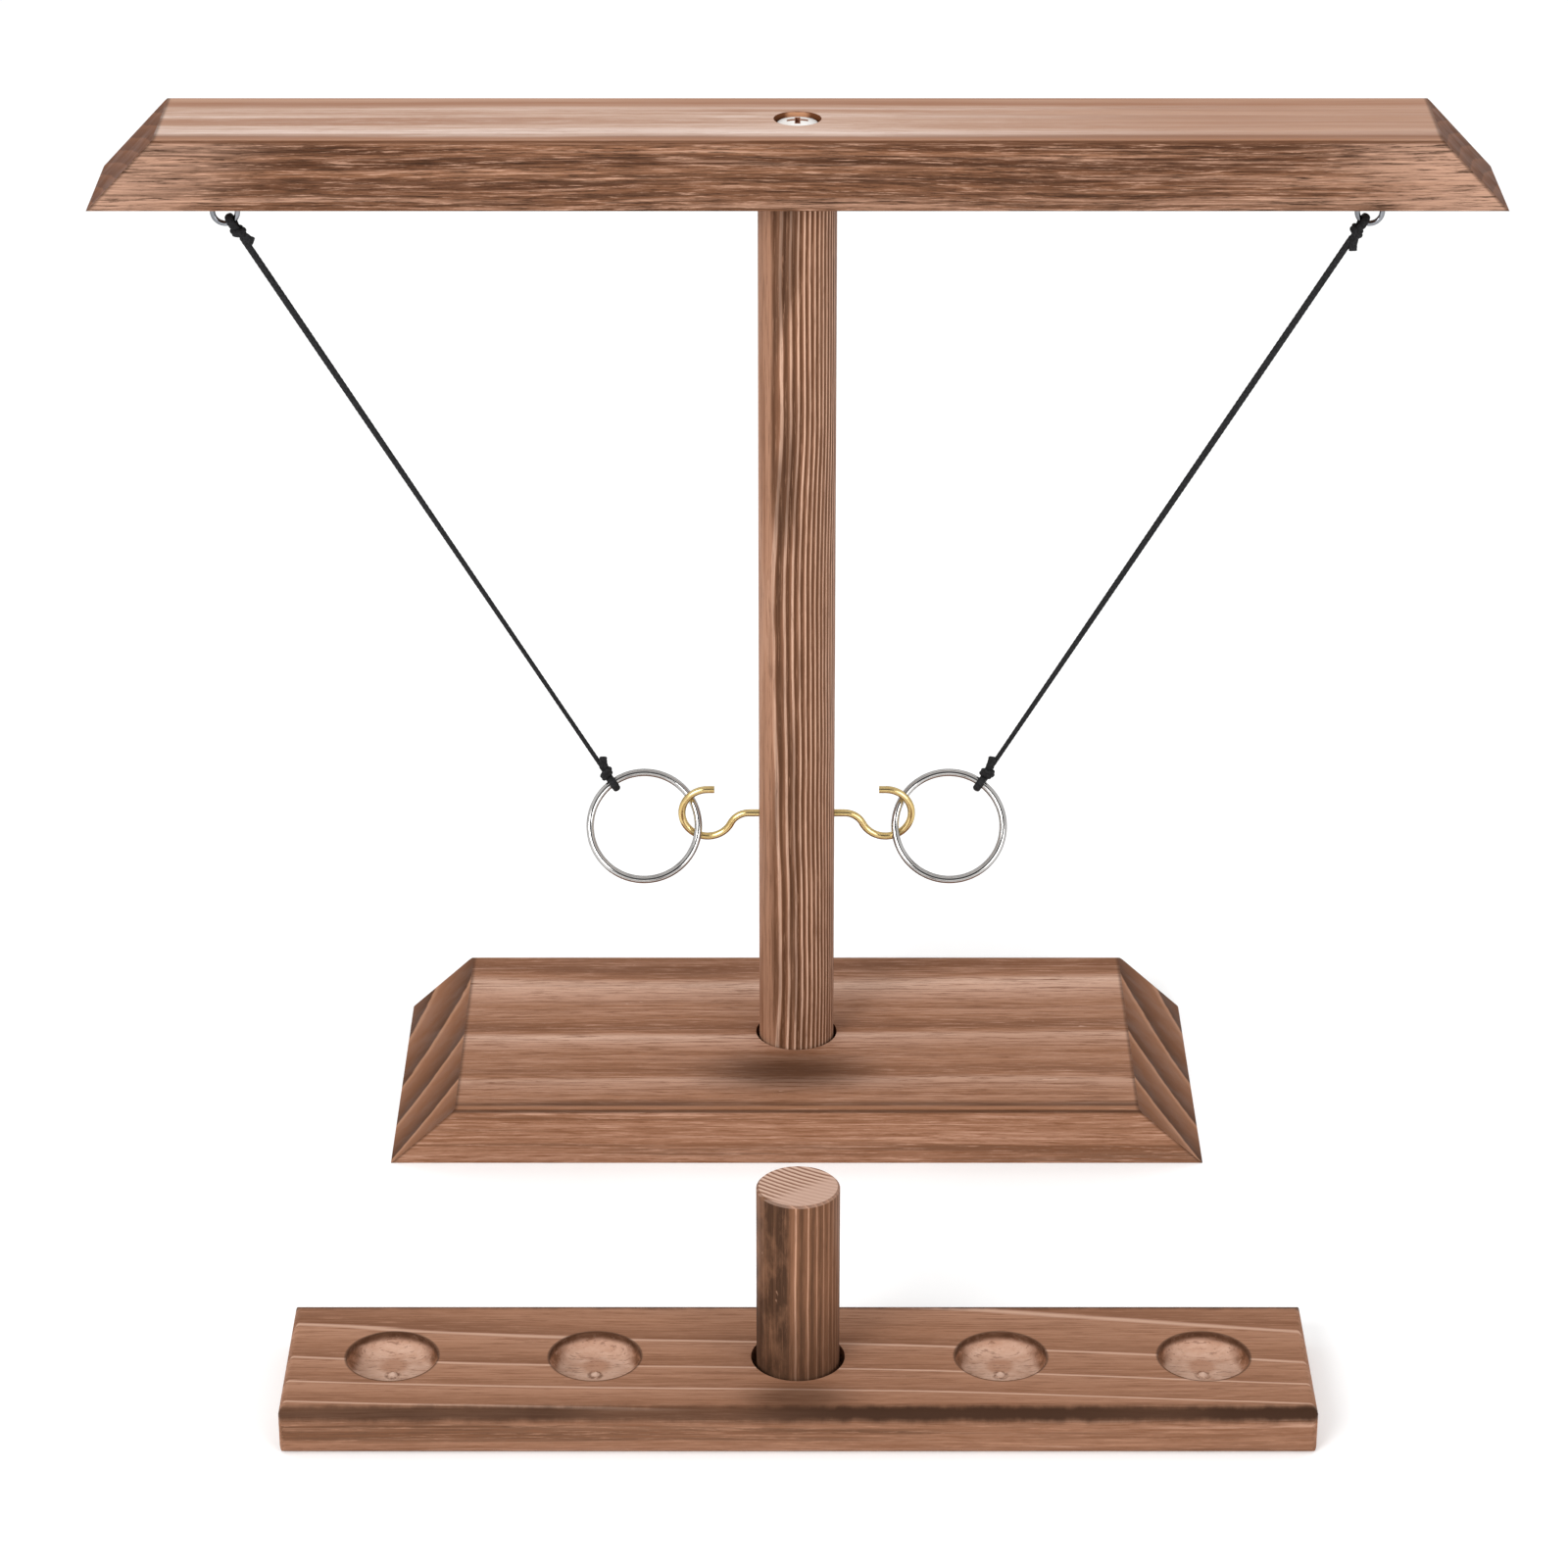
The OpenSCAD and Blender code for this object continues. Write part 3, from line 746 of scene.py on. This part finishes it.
def score_board_wood():
    """A board with thin wavy growth lines, rough burnt rounded edges, and dishes with paler floors."""
    wood = Plank("score_board_wood", "score_board", 0)
    burn, dark, mid = srgb(58, 37, 25), srgb(120, 80, 57), srgb(152, 109, 84)
    pale, line = srgb(170, 127, 102), srgb(208, 170, 148)
    growth = wood.rings(
        pith=(-60 * MM, -60 * MM), pitch=5.8 * MM, warp=9 * MM, run=2.6, spread=8, ripple=0.6 * MM,
        offset=0.2, slant=-0.03,
    )
    colour = wood.ramp(growth, (0.0, pale), (0.4, mid), (0.85, dark), (1.0, pale))
    even = wood.fade(wood.streaks(4, 30, 2), 0.42, 0.62)
    colour = wood.tint(even, 0.6, colour, mid)
    sawn = wood.streaky(srgb(92, 63, 46), srgb(138, 99, 77), srgb(192, 153, 131))
    colour = wood.tint(wood.side_face, 0.9, colour, sawn)
    colour = wood.weathered(colour, dark, pale, 1.0)
    late = wood.between(growth, 0.85, 0.91, 0.92, 0.97)
    colour = wood.tint(wood.product(late, wood.top_face), 0.65, colour, line)
    smoke = wood.fade(wood.around(*SCORE_SMOKE_AT, narrow=0.5), 2 * MM, 11 * MM, 1, 0)
    colour = wood.tint(smoke, wood.fade(wood.below_top, 5 * MM, 2 * MM, 0, 0.6), colour, burn)
    colour = burnt_roundings(wood, colour, burn)
    return wood.planed(dishes(wood, colour, burn, line))


class Dowel(Lumber):
    """A dowel along Z with growth stripes that come closer where its side cuts across the rings.
    facing is the way from the pith to the bark, in X and Y."""

    PITH_AWAY = 60 * MM

    def __init__(self, name, node, facing, pitch, warp):
        super().__init__(name, "Z")
        low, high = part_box(node)
        middle = (low + high) / 2
        pith = (middle.x - facing[0] * self.PITH_AWAY, middle.y - facing[1] * self.PITH_AWAY)
        self.growth = self.rings(pith, pitch, warp, run=8, spread=10, ripple=0.25 * pitch)
        self.from_left = self.math("SUBTRACT", self.x, low.x)
        self.top_face = self.fade(self.split(self.normal)[2], 0.6, 0.9)


def post_wood():
    """Strong stripes, plain on the left where the surface lies along the rings, and smoky in the middle."""
    wood = Dowel("post_wood", "post", facing=(-0.8, -0.6), pitch=1.35 * MM, warp=4.5 * MM)
    smoke, dark, mid = srgb(62, 40, 27), srgb(90, 58, 39), srgb(130, 90, 67)
    pale, line = srgb(166, 123, 98), srgb(204, 165, 142)
    colour = wood.ramp(
        wood.growth, (0.0, pale), (0.12, mid), (0.4, dark), (0.6, dark),
        (0.7, mid), (0.76, line), (0.95, line),
    )
    wander = wood.product(wood.noise(wood.place, (0, 0, 11)), 4 * MM)
    in_from_left = wood.math("ADD", wood.from_left, wander)
    plain = wood.fade(in_from_left, 6.6 * MM, 5.2 * MM)
    even = wood.ramp(wood.streaks(6, 420, 3), (0.36, srgb(140, 98, 74)), (0.5, srgb(168, 125, 100)))
    colour = wood.tint(plain, 0.88, colour, even)
    smoky = wood.product(
        wood.between(in_from_left, 5.4 * MM, 7 * MM, 11 * MM, 16 * MM),
        wood.fade(wood.noise(wood.stock, (14, 110, 110)), 0.36, 0.56),
    )
    colour = wood.tint(smoky, 0.7, colour, smoke)
    colour = wood.weathered(colour, dark, pale, 0.7)
    return wood.finish(colour, wood.growth)


def peg_end(wood):
    """Colour of the peg's end grain: brown rings on a pale face, worn plain to the front and the right."""
    face, ring = srgb(212, 179, 160), srgb(122, 82, 61)
    colour = wood.ramp(wood.growth, (0.0, face), (0.3, face), (0.6, ring), (0.85, ring), (1.0, face))
    to_front_right = wood.math("SUBTRACT", wood.product(wood.x, 0.75), wood.y)
    worn = wood.fade(to_front_right, -SCORE_Y - 0.5 * MM, -SCORE_Y + 4.5 * MM, 0, 0.8)
    colour = wood.mix(worn, colour, srgb(196, 163, 146))
    return wood.tint(wood.noise(wood.place, (900, 900, 900), 3), 0.4, colour, srgb(186, 150, 130))


def peg_wood():
    """Smoke-dark on the left and at the foot, with thin pale lines on the right and a pale end grain."""
    wood = Dowel("peg_wood", "score_peg", facing=(-0.5, -0.87), pitch=1.65 * MM, warp=0.7 * MM)
    smoke, dark, mid = srgb(62, 42, 30), srgb(90, 60, 42), srgb(124, 85, 62)
    pale, line = srgb(144, 102, 78), srgb(184, 141, 116)
    colour = wood.ramp(
        wood.growth, (0.0, mid), (0.5, dark), (0.8, mid), (0.87, line), (0.91, line), (0.97, mid)
    )
    colour = wood.tint(wood.fade(wood.from_left, 11 * MM, 21 * MM), 0.45, colour, mid)
    left = wood.fade(wood.from_left, 9.5 * MM, 7.5 * MM)
    clouds = wood.noise(wood.place, (120, 120, 70), 5, 0.6)
    sooty = wood.ramp(clouds, (0.36, srgb(124, 88, 66)), (0.55, smoke))
    colour = wood.tint(left, 0.85, colour, sooty)
    foot = wood.fade(wood.z, 42 * MM, 12 * MM)
    colour = wood.tint(foot, 0.55, colour, smoke)
    nicks = wood.fade(wood.noise(wood.place, (330, 330, 190)), 0.7, 0.74)
    colour = wood.tint(wood.product(nicks, left), 0.6, colour, line)
    colour = wood.weathered(colour, smoke, pale, 0.5)
    return wood.finish(wood.mix(wood.top_face, colour, peg_end(wood)), wood.growth)


class Metal(Paint):
    """A plated metal with a slightly uneven polish and faint scratches."""

    # The tint at grazing angles, dark so that round wire has dark outlines
    EDGE_TINT = (0.05, 0.05, 0.05, 1)
    # How many times rougher the worn places are
    WORN_ROUGHER = 1.6

    def __init__(self, name, colour, worn, roughness, metallic=1.0):
        super().__init__(name)
        polish = self.noise(self.place, (160, 160, 160), 3)
        scratches = self.noise(self.place, (300, 2400, 2400), 2, 0.7)
        self.colour = self.ramp(polish, (0.3, worn), (0.6, colour))
        self.set(
            Base_Color=self.colour,
            Metallic=metallic,
            Specular_Tint=self.EDGE_TINT,
            Roughness=self.fade(polish, 0.3, 0.7, roughness * self.WORN_ROUGHER, roughness),
        )
        self.bump(scratches, 0.02, 0.05 * MM)


def screw_steel():
    """Bright pale plating, with brown painted shade in the cross recess of the screw on top."""
    paint = Metal("screw_steel", srgb(252, 249, 246), srgb(236, 230, 224), roughness=0.3, metallic=0.3)
    low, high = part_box("beam_screw")
    middle = (low + high) / 2
    x, y, z = paint.split(paint.place)
    aside_x = paint.math("ABSOLUTE", paint.math("SUBTRACT", x, middle.x))
    aside_y = paint.math("ABSOLUTE", paint.math("SUBTRACT", y, middle.y))
    arms = []
    for along, across in ((aside_x, aside_y), (aside_y, aside_x)):
        in_length = paint.fade(along, RECESS_L / 2 + RECESS_SHADE_SPREAD, RECESS_L / 2)
        in_width = paint.fade(across, RECESS_W / 2 + RECESS_SHADE_SPREAD, RECESS_W / 2)
        arms.append(paint.product(in_length, in_width))
    # Painted shade: the cross recess of the screw on top is painted brown
    recess = paint.product(paint.math("MAXIMUM", *arms), paint.math("GREATER_THAN", z, middle.z))
    paint.set(Base_Color=paint.mix(recess, paint.colour, srgb(168, 122, 98)))
    return paint.material


def paint_frame():
    """Gives every solid of the frame that shows its finish."""
    steel = Metal("ring_steel", srgb(198, 196, 194), srgb(178, 176, 174), roughness=0.1)
    eye_steel = Metal("eye_steel", srgb(142, 144, 149), srgb(112, 114, 118), roughness=0.1)
    brass = Metal("hook_brass", srgb(228, 201, 142), srgb(204, 175, 114), roughness=0.16)
    finishes = {
        ("base_board",): base_board_wood(),
        ("cross_beam",): cross_beam_wood(),
        ("score_board",): score_board_wood(),
        ("post",): post_wood(),
        ("score_peg",): peg_wood(),
        ("left_ring", "right_ring"): steel.material,
        ("left_eye", "right_eye"): eye_steel.material,
        ("left_hook", "right_hook"): brass.material,
        ("beam_screw", "base_screw"): screw_steel(),
    }
    for nodes, material in finishes.items():
        for node in nodes:
            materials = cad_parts[node].data.materials
            materials.clear()
            materials.append(material)


# Floor, world and lamps


def make_floor():
    """A white floor that keeps the object's shadow, a little lifted where it is seen."""
    corners = [(-1, -1), (1, -1), (1, 1), (-1, 1)]
    mesh = bpy.data.meshes.new("floor")
    mesh.from_pydata([(x * FLOOR_HALF, y * FLOOR_HALF, 0) for x, y in corners], [], [(0, 1, 2, 3)])
    paint = Paint("floor_white")
    rays = paint.nodes.new("ShaderNodeLightPath").outputs
    seen = paint.math("MAXIMUM", rays["Is Camera Ray"], rays["Is Glossy Ray"])
    seen = paint.math("MAXIMUM", seen, rays["Is Transmission Ray"])
    paint.set(
        Base_Color=FLOOR_WHITE,
        Roughness=0.9,
        Specular_IOR_Level=0.0,
        Emission_Color=(1, 1, 1, 1),
        Emission_Strength=paint.product(seen, FLOOR_LIFT),
    )
    mesh.materials.append(paint.material)
    floor = bpy.data.objects.new("floor", mesh)
    bpy.context.scene.collection.objects.link(floor)


def make_world():
    """A white studio that is dark high up behind the camera, so that polished metal shows dark lines."""
    world = bpy.data.worlds.new("studio")
    tree = Tree(world)
    way = tree.split(tree.nodes.new("ShaderNodeTexCoord").outputs["Generated"])
    ahead = tree.fade(way["Y"], *DARK_BEHIND, DARK_SHARE, 1)
    low = tree.fade(way["Z"], *DARK_ABOVE, DARK_SHARE, 1)
    background = tree.nodes["Background"]
    tree.put(background.inputs["Color"], tree.math("MAXIMUM", ahead, low))
    tree.put(background.inputs["Strength"], WORLD_STRENGTH)
    bpy.context.scene.world = world


def make_lamp(name, at, watts):
    """A round soft lamp that points at the set."""
    data = bpy.data.lights.new(name, "AREA")
    data.shape = "DISK"
    data.size = LAMP_SIZE
    data.energy = watts
    lamp = bpy.data.objects.new(name, data)
    lamp.location = at
    lamp.rotation_euler = (LAMP_TARGET - at).to_track_quat("-Z", "Y").to_euler()
    bpy.context.scene.collection.objects.link(lamp)


make_camera()
lace = cord_black()
for side, name, eye_tail, ring_tail in LINES:
    make_line(side, name, eye_tail, ring_tail, lace)
paint_frame()
make_floor()
make_world()
for name, at, watts in LAMPS:
    make_lamp(name, at, watts)

bpy.context.scene.view_settings.view_transform = "Standard"
